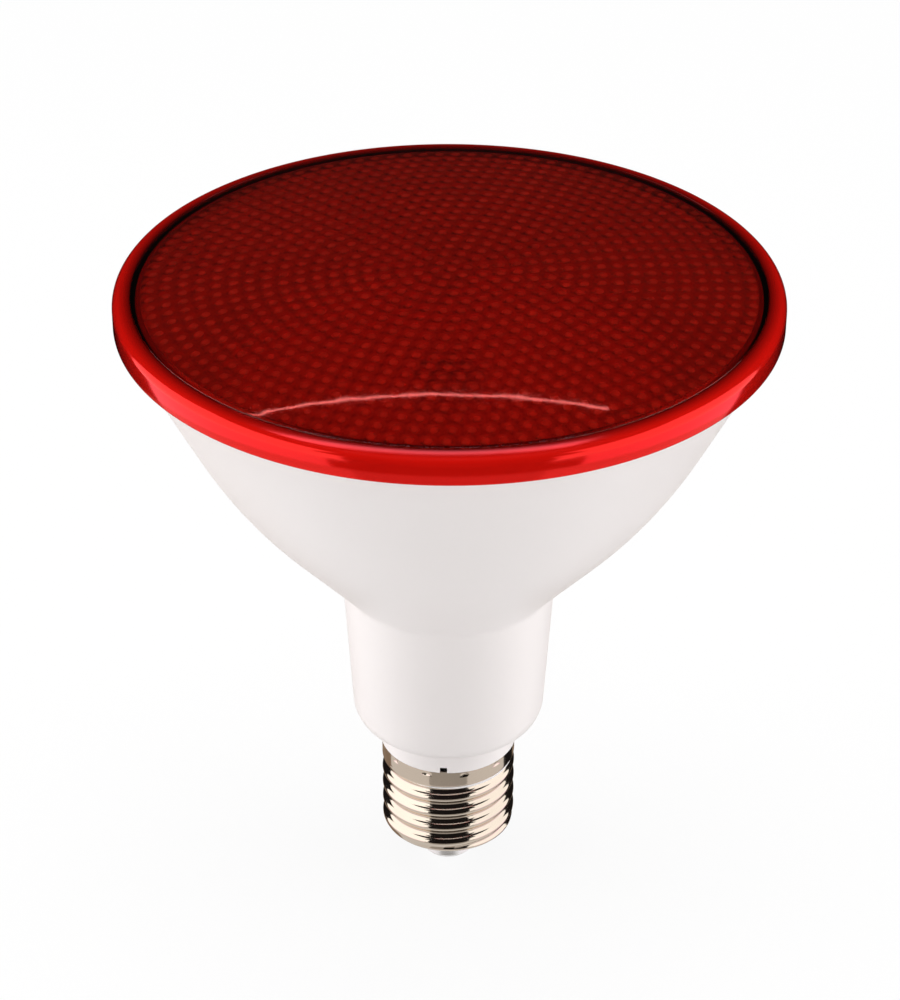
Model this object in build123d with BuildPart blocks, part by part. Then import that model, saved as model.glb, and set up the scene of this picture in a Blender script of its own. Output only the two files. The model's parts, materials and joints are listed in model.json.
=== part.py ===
from build123d import *
from math import atan, cos, radians, sin, sqrt
import os

# An LED reflector lamp: red stippled lens, white moulded housing, screw cap.
# Millimetres. +Z runs up the lamp's axis from the cap to the lens, and the origin is the
# tip of the centre contact. -Y is the side that faces the viewer.

os.makedirs("parts", exist_ok=True)

# Centre contact and insulator
CONTACT_RADIUS = 5.3
CONTACT_DOME = 2.7
CONTACT_EDGE = 1.2
CONTACT_WALL = 0.5
CONTACT_STEM = 8.0
STEM_WALL = 0.5
STEM_FLOOR = 1.5
INSULATOR_HEIGHT = 5.0
INSULATOR_FLANGE = 1.2

# Screw shell
SHELL_RADIUS = 13.05
SHELL_HEIGHT = 20.5
SHELL_WALL = 0.35
SHELL_CORNER = 2.1
SHELL_BEVEL = 0.9
SHELL_MOUTH_RADIUS = 8.9
SHELL_BAND = 4.4
THREAD_PITCH = 3.63
THREAD_DEPTH = 0.95
THREAD_MOUTH = 2.4
THREAD_ROOT = 0.9
THREAD_DROP = 5.8
THREAD_TURNS = 4

# Housing
COLLAR_RADIUS = 13.3
COLLAR_HEIGHT = 5.2
NECK_FOOT_RADIUS = 18.3
NECK_FOOT_ROUND = 4.6
NECK_TOP_RADIUS = 20.3
NECK_HEIGHT = 31.9
NECK_FILLET = 2.5
KNEE_RADIUS = 42.6
KNEE_HEIGHT = 25.3
KNEE_ROUND = 104.0
KNEE_BEVEL = 6.6
DISH_HEIGHT = 32.3
RIM_RADIUS = 58.9
WALL = 2.0
RIM_HEIGHT = 2.2
RIM_FLANGE = 3.0
RIM_FLANGE_WIDTH = 4.2
SNAP_DEPTH = 0.45
SNAP_WIDTH = 1.0
SNAP_HEIGHT = 0.9
NOTCH_WIDTH = 1.4
NOTCH_HEIGHT = 1.2
NOTCH_DROP = 1.5
NOTCH_OFFSET = -0.9

# Lens
SKIRT_WALL = 1.5
SKIRT_HEIGHT = 4.8
RIM_ROUND = 1.4
RIM_STEP = 0.45
DOME_INSET = 1.5
DOME_RISE = 3.85
LENS_WALL = 1.6
STIPPLE_PITCH = 3.02
STIPPLE_DEPTH = 0.45
LENS_LAND = 1.9

# Seal
SEAL_WIDTH = 1.8
SEAL_HEIGHT = 1.8
SEAL_SINK = 1.0
SEAL_CHAMFER = 0.4

# Heat sink, pad and LED board
PAN_DROP = 22.9
PAN_WALL = 1.5
PAN_FLANGE = 4.5
PAN_BEVEL = 2.4
PAD_WALL = 0.5
LED_BOARD_RADIUS = 40.5
LED_BOARD_WALL = 1.6
LED_SIZE = 3.2
LED_HEIGHT = 0.8
LED_RING_RADII = (13.0, 25.0)
LED_RING_COUNTS = (6, 12)
LED_ANGLE = 30.0
LED_MARK = 0.8
WIRE_HOLE_RADIUS = 4.0
GROMMET_FLANGE = 1.0
GROMMET_WIDTH = 1.2
GROMMET_BORE = 1.8
CONNECTOR_LENGTH = 4.0
CONNECTOR_WIDTH = 5.0
CONNECTOR_HEIGHT = 3.0

# Board screws and their bosses
SCREW_COUNT = 3
SCREW_CIRCLE = 35.5
SCREW_RADIUS = 1.5
SCREW_LENGTH = 9.0
SCREW_HEAD_RADIUS = 2.8
SCREW_HEAD_HEIGHT = 1.9
SCREW_SLOT_WIDTH = 0.7
SCREW_SLOT_DEPTH = 0.8
BOSS_RADIUS = 3.4
BOSS_ANGLE = 90.0

# Driver board and what stands on it
DRIVER_WIDTH = 30.0
DRIVER_HEIGHT = 46.0
DRIVER_WALL = 1.6
RAIL_WIDTH = 1.4
RAIL_REACH = 2.0
RAIL_HEIGHT = 26.0
RAIL_RISE = 3.5
DRIVER_CORNER = 3.2
CORE_WIDTH = 13.0
CORE_HEIGHT = 13.0
CORE_THICKNESS = 5.0
CORE_LIMB = 2.4
CORE_POST = 4.0
WINDING_BULGE = 3.0
WINDING_ROUND = 1.2
INPUT_CAP_RADIUS = 5.0
INPUT_CAP_LENGTH = 12.0
INPUT_CAP_SIDE = -5.2
OUTPUT_CAP_RADIUS = 4.0
OUTPUT_CAP_LENGTH = 11.0
OUTPUT_CAP_SIDE = 5.6
CAP_GROOVE = 0.4
CAP_GROOVE_RISE = 1.2
MOULD_BEVEL = 0.4
CAP_BEVEL = 0.5
FILM_CAP_SIZE = (10.0, 8.0, 7.0)
CHOKE_RADIUS = 4.2
CHOKE_LENGTH = 9.0
CHOKE_WAIST = 2.9
CHOKE_FLANGE = 1.3
CHOKE_SPOT = (-6.0, 20.0)
RECTIFIER_SIZE = (6.4, 2.5, 5.0)
RECTIFIER_SPOT = (5.0, 10.0)
CHIP_SIZE = (5.0, 1.6, 4.0)
CHIP_SPOT = (5.0, 24.0)
VARISTOR_RADIUS = 3.6
VARISTOR_LENGTH = 3.4
VARISTOR_SPOT = (-7.0, 8.0)
FUSE_RADIUS = 1.6
FUSE_LENGTH = 8.0
FUSE_SPOT = (0.5, 5.0)

# Leads
LEAD_RADIUS = 0.65
LEAD_SPACING = 0.85
LEAD_BEND = 2.6
CAP_LEAD_RADIUS = 0.6
CAP_LEAD_OFFSET = 2.6
PAD_INSET = 4.9
MAINS_PAD_INSET = 3.9

# Clearances
FIT = 0.1
SCREW_FIT = 0.05
LEAD_FIT = 0.05
SNAP_FIT = 0.3
SLIDE_FIT = 0.15
PAN_FIT = 0.3
PART_GAP = 0.6

# Heights, worked out from the cap upwards
contact_top = CONTACT_DOME + CONTACT_EDGE
shell_bottom = contact_top + INSULATOR_HEIGHT
shell_top = shell_bottom + SHELL_HEIGHT
collar_top = shell_top + COLLAR_HEIGHT
neck_top = collar_top + NECK_HEIGHT
knee_z = neck_top + KNEE_HEIGHT
skirt_bottom = knee_z + DISH_HEIGHT
rim_top = skirt_bottom + SKIRT_HEIGHT
housing_top = skirt_bottom + RIM_HEIGHT
dome_edge = rim_top + RIM_STEP
lens_top = dome_edge + DOME_RISE

# Radii and slopes that several pieces share
shell_bore = SHELL_RADIUS - THREAD_DEPTH - SHELL_WALL
band_bore = SHELL_RADIUS - SHELL_WALL
spigot_radius = shell_bore - FIT
spigot_bore = spigot_radius - WALL
skirt_inner = RIM_RADIUS + SNAP_FIT
skirt_radius = skirt_inner + SKIRT_WALL
dish_slope = (RIM_RADIUS - KNEE_RADIUS) / DISH_HEIGHT
seal_ceiling = housing_top - SEAL_SINK + SEAL_HEIGHT
seal_mid = RIM_RADIUS - RIM_FLANGE_WIDTH / 2


def dish_bore(z):
    """Inside radius of the bowl's upper cone at height z."""
    outside = RIM_RADIUS - dish_slope * (skirt_bottom - z)
    return outside - WALL * sqrt(1 + dish_slope**2)


# The red lens: domed face, rim ring, skirt and snap bead in one moulding.
# The underside carries a row of stipple on each ring, drawn here as a low ridge.
dome_radius = RIM_RADIUS - DOME_INSET
dome_ball = (dome_radius**2 + DOME_RISE**2) / (2 * DOME_RISE)
dome_centre = lens_top - dome_ball
inner_ball = dome_ball - LENS_WALL
land_inner = dome_radius - LENS_LAND
stipple_rings = int(land_inner / STIPPLE_PITCH)
snap_z = skirt_bottom + SNAP_HEIGHT


def inner_dome(r):
    """Height of the lens's underside between the ridges, at radius r."""
    return dome_centre + sqrt(inner_ball**2 - r**2)


stipple = []
for ring in range(stipple_rings, 0, -1):
    crest = ring * STIPPLE_PITCH
    valley = crest - STIPPLE_PITCH / 2
    stipple.append((crest, inner_dome(crest) - STIPPLE_DEPTH))
    stipple.append((valley, inner_dome(valley)))

with BuildPart() as lens_cover:
    with BuildSketch(Plane.XZ):
        with BuildLine():
            ThreePointArc(
                (0, lens_top),
                (dome_radius / 2, dome_centre + sqrt(dome_ball**2 - (dome_radius / 2) ** 2)),
                (dome_radius, dome_edge),
            )
            Polyline(
                (dome_radius, dome_edge),
                (dome_radius, rim_top),
                (skirt_radius - RIM_ROUND, rim_top),
            )
            ThreePointArc(
                (skirt_radius - RIM_ROUND, rim_top),
                (
                    skirt_radius - RIM_ROUND * (1 - sin(radians(45))),
                    rim_top - RIM_ROUND * (1 - cos(radians(45))),
                ),
                (skirt_radius, rim_top - RIM_ROUND),
            )
            Polyline(
                (skirt_radius, rim_top - RIM_ROUND),
                (skirt_radius, skirt_bottom),
                (skirt_inner, skirt_bottom),
                (skirt_inner, snap_z - SNAP_WIDTH / 2),
                (skirt_inner - SNAP_DEPTH, snap_z),
                (skirt_inner, snap_z + SNAP_WIDTH / 2),
                (skirt_inner, seal_ceiling),
                (land_inner, seal_ceiling),
                (land_inner, inner_dome(land_inner)),
                *stipple,
                (0, inner_dome(0) - STIPPLE_DEPTH),
                (0, lens_top),
            )
        make_face()
    revolve(axis=Axis.Z)
lens_cover.part.label = "lens_cover"
export_step(lens_cover.part, "parts/lens_cover.step")

# The rubber ring that the lens presses on the housing's rim.
with BuildPart() as lens_seal:
    with BuildSketch(Plane.XZ) as section:
        with Locations((seal_mid, seal_ceiling - SEAL_HEIGHT / 2)):
            Rectangle(SEAL_WIDTH, SEAL_HEIGHT)
        chamfer(section.vertices(), SEAL_CHAMFER)
    revolve(axis=Axis.Z)
lens_seal.part.label = "lens_seal"
export_step(lens_seal.part, "parts/lens_seal.step")

# The white housing: spigot, collar, neck and bowl in one thin-walled moulding, with a
# grooved rim, three screw bosses and two pairs of rails for the driver board.
spigot_bottom = shell_bottom + SHELL_WALL + INSULATOR_FLANGE + FIT
spigot_shoulder = shell_top - SHELL_BAND
band_spigot = band_bore - FIT
neck_slope = (NECK_TOP_RADIUS - NECK_FOOT_RADIUS) / NECK_HEIGHT
knee_slope = (KNEE_RADIUS - NECK_TOP_RADIUS) / KNEE_HEIGHT
neck_floor = collar_top + WALL
pan_top = rim_top - PAN_DROP
pan_under = pan_top - PAN_WALL
rail_gap = DRIVER_WALL + 2 * SLIDE_FIT
rail_inner = DRIVER_WIDTH / 2 - RAIL_REACH
pilot_depth = SCREW_LENGTH - PAN_WALL - PAD_WALL - LED_BOARD_WALL + SCREW_FIT


def neck_middle(z):
    """Radius of the middle of the neck's wall at height z."""
    return NECK_FOOT_RADIUS + neck_slope * (z - collar_top) - WALL / 2


def inside_corner(corner, slope_below, slope_above):
    """A corner of the inside, a wall's thickness in from a corner of the outside."""
    below = atan(slope_below)
    above = atan(slope_above)
    middle = (below + above) / 2
    reach = WALL / cos((below - above) / 2)
    return (corner[0] - reach * cos(middle), corner[1] + reach * sin(middle))


with BuildPart() as housing:
    with BuildSketch(Plane.XZ) as outline:
        with BuildLine():
            Polyline(
                (0, spigot_bottom),
                (spigot_radius, spigot_bottom),
                (spigot_radius, spigot_shoulder),
                (band_spigot, spigot_shoulder),
                (band_spigot, shell_top),
                (COLLAR_RADIUS, shell_top),
                (COLLAR_RADIUS, collar_top),
                (NECK_FOOT_RADIUS, collar_top),
                (NECK_TOP_RADIUS, neck_top),
                (KNEE_RADIUS, knee_z),
                (RIM_RADIUS, skirt_bottom),
                (RIM_RADIUS, housing_top),
                (0, housing_top),
                close=True,
            )
        make_face()
        for corner, size in (
            ((NECK_FOOT_RADIUS, collar_top), NECK_FOOT_ROUND),
            ((NECK_TOP_RADIUS, neck_top), NECK_FILLET),
            ((KNEE_RADIUS, knee_z), KNEE_ROUND),
        ):
            fillet(outline.vertices().sort_by_distance(corner)[0], size)
    revolve(axis=Axis.Z)
    with BuildSketch(Plane.XZ) as hollow:
        foot_corner = (neck_middle(neck_floor) - WALL / 2, neck_floor)
        knee_corner = inside_corner((KNEE_RADIUS, knee_z), knee_slope, dish_slope)
        with BuildLine():
            Polyline(
                (0, spigot_bottom),
                (spigot_bore, spigot_bottom),
                (spigot_bore, neck_floor),
                foot_corner,
                inside_corner((NECK_TOP_RADIUS, neck_top), neck_slope, knee_slope),
                knee_corner,
                (dish_bore(housing_top), housing_top),
                (0, housing_top),
                close=True,
            )
        make_face()
        chamfer(hollow.vertices().sort_by_distance(foot_corner)[0], NECK_FOOT_ROUND / 2)
        chamfer(hollow.vertices().sort_by_distance(knee_corner)[0], KNEE_BEVEL)
    revolve(axis=Axis.Z, mode=Mode.SUBTRACT)
    with BuildSketch(Plane.XZ):
        with Locations((RIM_RADIUS, housing_top)):
            Rectangle(RIM_FLANGE_WIDTH, RIM_FLANGE, align=(Align.MAX, Align.MAX))
    revolve(axis=Axis.Z)
    with BuildSketch(Plane.XZ):
        with Locations((seal_mid, housing_top)):
            Rectangle(SEAL_WIDTH + 2 * SLIDE_FIT, 2 * SEAL_SINK)
        with Locations((RIM_RADIUS, snap_z)):
            Rectangle(2 * SNAP_DEPTH, SNAP_WIDTH + 2 * SLIDE_FIT)
    revolve(axis=Axis.Z, mode=Mode.SUBTRACT)
    with BuildSketch(Plane.XZ.offset(rail_gap / 2)):
        rail_foot = neck_floor + RAIL_RISE
        rail_head = rail_foot + RAIL_HEIGHT
        with BuildLine():
            Polyline(
                (rail_inner, rail_foot),
                (neck_middle(rail_foot), rail_foot),
                (neck_middle(rail_head), rail_head),
                (rail_inner, rail_head),
                close=True,
            )
        make_face()
        mirror(about=Plane.YZ)
    rails = extrude(amount=RAIL_WIDTH)
    mirror(rails, about=Plane.XZ)
    with BuildSketch(Plane.XY.offset(pan_under)):
        with PolarLocations(SCREW_CIRCLE, SCREW_COUNT, start_angle=BOSS_ANGLE):
            Circle(BOSS_RADIUS)
    extrude(until=Until.NEXT, dir=(0, 0, -1))
    with BuildSketch(Plane.XY.offset(pan_under)):
        with PolarLocations(SCREW_CIRCLE, SCREW_COUNT, start_angle=BOSS_ANGLE):
            Circle(SCREW_RADIUS + SCREW_FIT)
    extrude(amount=-pilot_depth, mode=Mode.SUBTRACT)
    with BuildSketch(Plane.XZ.offset(band_spigot - 2 * WALL)):
        with Locations((NOTCH_OFFSET, shell_top + NOTCH_HEIGHT)):
            Rectangle(NOTCH_WIDTH, NOTCH_HEIGHT + NOTCH_DROP, align=(Align.CENTER, Align.MAX))
    extrude(amount=3 * WALL, mode=Mode.SUBTRACT)
housing.part.label = "housing"
export_step(housing.part, "parts/housing.step")

# The pressed aluminium pan that carries the LED board, its rim turned down.
pan_foot = pan_top - PAN_FLANGE
pan_radius = dish_bore(pan_foot) - PAN_FIT
screw_clearance = SCREW_RADIUS + SLIDE_FIT

with BuildPart() as heat_sink:
    with BuildSketch(Plane.XZ) as section:
        with BuildLine():
            Polyline(
                (WIRE_HOLE_RADIUS, pan_top),
                (pan_radius, pan_top),
                (pan_radius, pan_foot),
                (pan_radius - PAN_WALL, pan_foot),
                (pan_radius - PAN_WALL, pan_under),
                (WIRE_HOLE_RADIUS, pan_under),
                close=True,
            )
        make_face()
        chamfer(section.vertices().sort_by_distance((pan_radius, pan_top))[0], PAN_BEVEL)
        chamfer(
            section.vertices().sort_by_distance((pan_radius - PAN_WALL, pan_under))[0],
            PAN_BEVEL - PAN_WALL,
        )
    revolve(axis=Axis.Z)
    with BuildSketch(Plane.XY.offset(pan_under)):
        with PolarLocations(SCREW_CIRCLE, SCREW_COUNT, start_angle=BOSS_ANGLE):
            Circle(screw_clearance)
    extrude(amount=PAN_WALL, mode=Mode.SUBTRACT)
heat_sink.part.label = "heat_sink"
export_step(heat_sink.part, "parts/heat_sink.step")

# The rubber bush in the pan's centre hole, which the two LED leads pass through.
grommet_radius = WIRE_HOLE_RADIUS + GROMMET_WIDTH
board_hole = grommet_radius + SLIDE_FIT

with BuildPart() as wire_grommet:
    with BuildSketch(Plane.XY.offset(pan_under - GROMMET_FLANGE)):
        Circle(grommet_radius)
    extrude(amount=GROMMET_FLANGE)
    with BuildSketch(Plane.XY.offset(pan_under)):
        Circle(WIRE_HOLE_RADIUS - LEAD_FIT)
    extrude(amount=PAN_WALL)
    with BuildSketch(Plane.XY.offset(pan_top)):
        Circle(grommet_radius)
    extrude(amount=GROMMET_FLANGE)
    with BuildSketch(Plane.XY.offset(pan_under - GROMMET_FLANGE)):
        Circle(GROMMET_BORE)
    extrude(amount=PAN_WALL + 2 * GROMMET_FLANGE, mode=Mode.SUBTRACT)
wire_grommet.part.label = "wire_grommet"
export_step(wire_grommet.part, "parts/wire_grommet.step")

# The soft pad and the round LED board that lie on the pan.
pad_top = pan_top + PAD_WALL
board_top = pad_top + LED_BOARD_WALL


def board_blank(height, thickness):
    """A disc with the centre hole and the screw holes, its underside at a height."""
    with BuildPart() as blank:
        with BuildSketch(Plane.XY.offset(height)):
            Circle(LED_BOARD_RADIUS)
            Circle(board_hole, mode=Mode.SUBTRACT)
            with PolarLocations(SCREW_CIRCLE, SCREW_COUNT, start_angle=BOSS_ANGLE):
                Circle(screw_clearance, mode=Mode.SUBTRACT)
        extrude(amount=thickness)
    return blank.part


thermal_pad = board_blank(pan_top, PAD_WALL)
thermal_pad.label = "thermal_pad"
export_step(thermal_pad, "parts/thermal_pad.step")

led_board = board_blank(pad_top, LED_BOARD_WALL)
led_board.label = "led_board"
export_step(led_board, "parts/led_board.step")

# The LEDs, in two rings, each with one corner cut off to mark its polarity.
with BuildPart() as led_packages:
    with BuildSketch(Plane.XY.offset(board_top)):
        for radius, count in zip(LED_RING_RADII, LED_RING_COUNTS):
            with PolarLocations(radius, count, start_angle=LED_ANGLE):
                Rectangle(LED_SIZE, LED_SIZE)
                with Locations((LED_SIZE / 2, LED_SIZE / 2)):
                    Rectangle(LED_MARK, LED_MARK, rotation=45, mode=Mode.SUBTRACT)
    extrude(amount=LED_HEIGHT)
led_packages.part.label = "led_packages"
export_step(led_packages.part, "parts/led_packages.step")

# The connector that the LED leads push into, beside the centre hole.
connector_face = board_hole + LEAD_SPACING
connector_mid = board_top + CONNECTOR_HEIGHT / 2

with BuildPart() as board_connector:
    with BuildSketch(Plane.XY.offset(board_top)):
        with Locations((0, -connector_face)):
            Rectangle(CONNECTOR_WIDTH, CONNECTOR_LENGTH, align=(Align.CENTER, Align.MAX))
    extrude(amount=CONNECTOR_HEIGHT)
    chamfer(board_connector.faces().sort_by(Axis.Z)[-1].edges(), MOULD_BEVEL)
board_connector.part.label = "board_connector"
export_step(board_connector.part, "parts/board_connector.step")

# Three slotted screws that hold the board, the pad and the pan on the housing's bosses.
with BuildPart() as board_screws:
    with BuildSketch(Plane.XY.offset(board_top)):
        with PolarLocations(SCREW_CIRCLE, SCREW_COUNT, start_angle=BOSS_ANGLE):
            Circle(SCREW_HEAD_RADIUS)
    extrude(amount=SCREW_HEAD_HEIGHT)
    chamfer(board_screws.edges().group_by(Axis.Z)[-1], CAP_BEVEL)
    with BuildSketch(Plane.XY.offset(board_top + SCREW_HEAD_HEIGHT)):
        with PolarLocations(SCREW_CIRCLE, SCREW_COUNT, start_angle=BOSS_ANGLE):
            Rectangle(SCREW_SLOT_WIDTH, 2 * SCREW_HEAD_RADIUS)
    extrude(amount=-SCREW_SLOT_DEPTH, mode=Mode.SUBTRACT)
    with BuildSketch(Plane.XY.offset(board_top)):
        with PolarLocations(SCREW_CIRCLE, SCREW_COUNT, start_angle=BOSS_ANGLE):
            Circle(SCREW_RADIUS)
    extrude(amount=-SCREW_LENGTH)
board_screws.part.label = "board_screws"
export_step(board_screws.part, "parts/board_screws.step")

# The driver board, which stands on the neck's floor between the rails.
driver_front = -DRIVER_WALL / 2
driver_back = DRIVER_WALL / 2
driver_top = neck_floor + DRIVER_HEIGHT

with BuildPart() as driver_board:
    with BuildSketch(Plane.XZ) as blank:
        with Locations((0, neck_floor)):
            Rectangle(DRIVER_WIDTH, DRIVER_HEIGHT, align=(Align.CENTER, Align.MIN))
        fillet(blank.vertices().group_by(Axis.Y)[0], DRIVER_CORNER)
    extrude(amount=DRIVER_WALL / 2, both=True)
driver_board.part.label = "driver_board"
export_step(driver_board.part, "parts/driver_board.step")


def front_plane(spot):
    """A plane on the driver board's front face, at a place measured from its foot."""
    return Plane(origin=(spot[0], driver_front, neck_floor + spot[1]), x_dir=(1, 0, 0), z_dir=(0, -1, 0))


def back_plane(spot):
    """A plane on the driver board's back face, at a place measured from its foot."""
    return Plane(origin=(spot[0], driver_back, neck_floor + spot[1]), x_dir=(-1, 0, 0), z_dir=(0, 1, 0))


# The transformer: a core with two windows round a middle post, and its winding.
window_height = CORE_HEIGHT - 2 * CORE_LIMB
window_width = (CORE_WIDTH - 2 * CORE_LIMB - CORE_POST) / 2
window_middle = (CORE_POST + window_width) / 2
transformer_height = DRIVER_HEIGHT - PAD_INSET - PART_GAP - CORE_HEIGHT / 2
transformer_spot = (0, transformer_height)

with BuildPart() as transformer_core:
    with BuildSketch(front_plane(transformer_spot).offset(WINDING_BULGE)):
        Rectangle(CORE_WIDTH, CORE_HEIGHT)
        with Locations((-window_middle, 0), (window_middle, 0)):
            Rectangle(window_width, window_height, mode=Mode.SUBTRACT)
    extrude(amount=CORE_THICKNESS)
transformer_core.part.label = "transformer_core"
export_step(transformer_core.part, "parts/transformer_core.step")

winding_width = CORE_POST + 2 * window_width - 2 * FIT
winding_depth = CORE_THICKNESS + 2 * WINDING_BULGE
winding_foot = neck_floor + transformer_height - window_height / 2 + FIT

with BuildPart() as transformer_winding:
    with BuildSketch(Plane.XY.offset(winding_foot)):
        with Locations((0, driver_front - winding_depth / 2)):
            RectangleRounded(winding_width, winding_depth, WINDING_ROUND)
            Rectangle(CORE_POST + 2 * FIT, CORE_THICKNESS + 2 * FIT, mode=Mode.SUBTRACT)
    extrude(amount=window_height - 2 * FIT)
transformer_winding.part.label = "transformer_winding"
export_step(transformer_winding.part, "parts/transformer_winding.step")


def round_can(plane, radius, length):
    """A capacitor can: a drawn cup with a crimp groove near its foot and a bevelled end."""
    with BuildPart() as can:
        with BuildSketch(plane):
            Circle(radius)
        extrude(amount=length)
        chamfer(can.faces().sort_by_distance(plane.origin)[-1].edges(), CAP_BEVEL)
        with BuildSketch(plane.offset(CAP_GROOVE_RISE)):
            Circle(radius)
            Circle(radius - CAP_GROOVE, mode=Mode.SUBTRACT)
        extrude(amount=CAP_GROOVE, mode=Mode.SUBTRACT)
    return can.part


can_height = transformer_height - CORE_HEIGHT / 2 - PART_GAP - INPUT_CAP_RADIUS
input_plane = front_plane((INPUT_CAP_SIDE, can_height))
output_plane = front_plane((OUTPUT_CAP_SIDE, can_height))

input_capacitor = round_can(input_plane, INPUT_CAP_RADIUS, INPUT_CAP_LENGTH)
input_capacitor.label = "input_capacitor"
export_step(input_capacitor, "parts/input_capacitor.step")

output_capacitor = round_can(output_plane, OUTPUT_CAP_RADIUS, OUTPUT_CAP_LENGTH)
output_capacitor.label = "output_capacitor"
export_step(output_capacitor, "parts/output_capacitor.step")


def moulded_block(plane, size):
    """A moulded component of a width, a height on the board and a depth off it."""
    with BuildPart() as block:
        with BuildSketch(plane):
            Rectangle(size[0], size[2])
        extrude(amount=size[1])
        chamfer(block.faces().sort_by_distance(plane.origin)[-1].edges(), MOULD_BEVEL)
    return block.part


film_height = can_height - INPUT_CAP_RADIUS - PART_GAP - FILM_CAP_SIZE[2] / 2

film_capacitor = moulded_block(front_plane((0, film_height)), FILM_CAP_SIZE)
film_capacitor.label = "film_capacitor"
export_step(film_capacitor, "parts/film_capacitor.step")

bridge_rectifier = moulded_block(back_plane(RECTIFIER_SPOT), RECTIFIER_SIZE)
bridge_rectifier.label = "bridge_rectifier"
export_step(bridge_rectifier, "parts/bridge_rectifier.step")

control_chip = moulded_block(back_plane(CHIP_SPOT), CHIP_SIZE)
control_chip.label = "control_chip"
export_step(control_chip, "parts/control_chip.step")

# The choke: a drum core with two flanges and a narrower wound waist.
with BuildPart() as choke:
    with BuildSketch(back_plane(CHOKE_SPOT)):
        Circle(CHOKE_RADIUS)
    extrude(amount=CHOKE_LENGTH)
    with BuildSketch(back_plane(CHOKE_SPOT).offset(CHOKE_FLANGE)):
        Circle(CHOKE_RADIUS)
        Circle(CHOKE_WAIST, mode=Mode.SUBTRACT)
    extrude(amount=CHOKE_LENGTH - 2 * CHOKE_FLANGE, mode=Mode.SUBTRACT)
choke.part.label = "choke"
export_step(choke.part, "parts/choke.step")

with BuildPart() as varistor:
    with BuildSketch(back_plane(VARISTOR_SPOT)):
        Circle(VARISTOR_RADIUS)
    extrude(amount=VARISTOR_LENGTH)
    chamfer(varistor.edges().filter_by(GeomType.CIRCLE), MOULD_BEVEL)
varistor.part.label = "varistor"
export_step(varistor.part, "parts/varistor.step")

with BuildPart() as fuse_resistor:
    with BuildSketch(back_plane(FUSE_SPOT)):
        Circle(FUSE_RADIUS)
    extrude(amount=FUSE_LENGTH)
    chamfer(fuse_resistor.edges().filter_by(GeomType.CIRCLE).sort_by(Axis.Y)[-1], MOULD_BEVEL)
fuse_resistor.part.label = "fuse_resistor"
export_step(fuse_resistor.part, "parts/fuse_resistor.step")


def lead(points, radius):
    """An insulated wire along straight runs joined by arcs."""
    with BuildPart() as wire:
        with BuildLine() as route:
            FilletPolyline(*points, radius=LEAD_BEND)
        with BuildSketch(Plane(origin=route.line @ 0, z_dir=route.line % 0)):
            Circle(radius)
        sweep()
    return wire.part


# The two leads from the driver board's head, through the bush, into the connector.
lead_y = driver_front - LEAD_RADIUS - LEAD_FIT
lead_foot = driver_top - PAD_INSET
lead_turn = driver_top + 2 * LEAD_BEND
lead_joggle = lead_turn + 2 * LEAD_BEND

for name, side in (("positive_lead", LEAD_SPACING), ("negative_lead", -LEAD_SPACING)):
    led_lead = lead(
        [
            (side, lead_y, lead_foot),
            (side, lead_y, lead_turn),
            (side, 0, lead_joggle),
            (side, 0, connector_mid),
            (side, -connector_face, connector_mid),
        ],
        LEAD_RADIUS,
    )
    led_lead.label = name
    export_step(led_lead, f"parts/{name}.step")

# The two mains leads: one down the axis into the contact's stem, the other out through
# the notch in the spigot to the shell.
cap_lead_y = driver_front - CAP_LEAD_RADIUS - LEAD_FIT
cap_lead_top = neck_floor + MAINS_PAD_INSET
notch_z = shell_top - NOTCH_DROP + CAP_LEAD_RADIUS + LEAD_FIT

live_lead = lead(
    [
        (CAP_LEAD_OFFSET, cap_lead_y, cap_lead_top),
        (CAP_LEAD_OFFSET, cap_lead_y, collar_top),
        (0, 0, spigot_shoulder),
        (0, 0, STEM_FLOOR),
    ],
    CAP_LEAD_RADIUS,
)
live_lead.label = "live_lead"
export_step(live_lead, "parts/live_lead.step")

neutral_lead = lead(
    [
        (-CAP_LEAD_OFFSET, cap_lead_y, cap_lead_top),
        (-CAP_LEAD_OFFSET, cap_lead_y, collar_top),
        (NOTCH_OFFSET, cap_lead_y - LEAD_BEND, notch_z),
        (NOTCH_OFFSET, LEAD_FIT - band_bore, notch_z),
    ],
    CAP_LEAD_RADIUS,
)
neutral_lead.label = "neutral_lead"
export_step(neutral_lead, "parts/neutral_lead.step")

# The nickel-plated shell: a drawn cup with a plain band on the spigot. Its rolled thread
# is drawn as rings, one pitch apart.
thread_top = shell_top - THREAD_DROP

with BuildPart() as cap_shell:
    with BuildSketch(Plane.XZ) as section:
        with BuildLine():
            Polyline(
                (SHELL_MOUTH_RADIUS, shell_bottom),
                (SHELL_RADIUS, shell_bottom),
                (SHELL_RADIUS, shell_top),
                (band_bore, shell_top),
                (band_bore, spigot_shoulder - FIT),
                (shell_bore, spigot_shoulder - FIT),
                (shell_bore, shell_bottom + SHELL_WALL),
                (SHELL_MOUTH_RADIUS, shell_bottom + SHELL_WALL),
                close=True,
            )
        make_face()
        fillet(section.vertices().sort_by_distance((SHELL_RADIUS, shell_bottom))[0], SHELL_CORNER)
        chamfer(
            section.vertices().sort_by_distance((shell_bore, shell_bottom + SHELL_WALL))[0],
            SHELL_BEVEL,
        )
        with Locations(
            *((SHELL_RADIUS, thread_top - turn * THREAD_PITCH) for turn in range(THREAD_TURNS))
        ):
            Polygon(
                (0, THREAD_MOUTH / 2),
                (-THREAD_DEPTH, THREAD_ROOT / 2),
                (-THREAD_DEPTH, -THREAD_ROOT / 2),
                (0, -THREAD_MOUTH / 2),
                align=None,
                mode=Mode.SUBTRACT,
            )
    revolve(axis=Axis.Z)
cap_shell.part.label = "cap_shell"
export_step(cap_shell.part, "parts/cap_shell.step")

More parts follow.
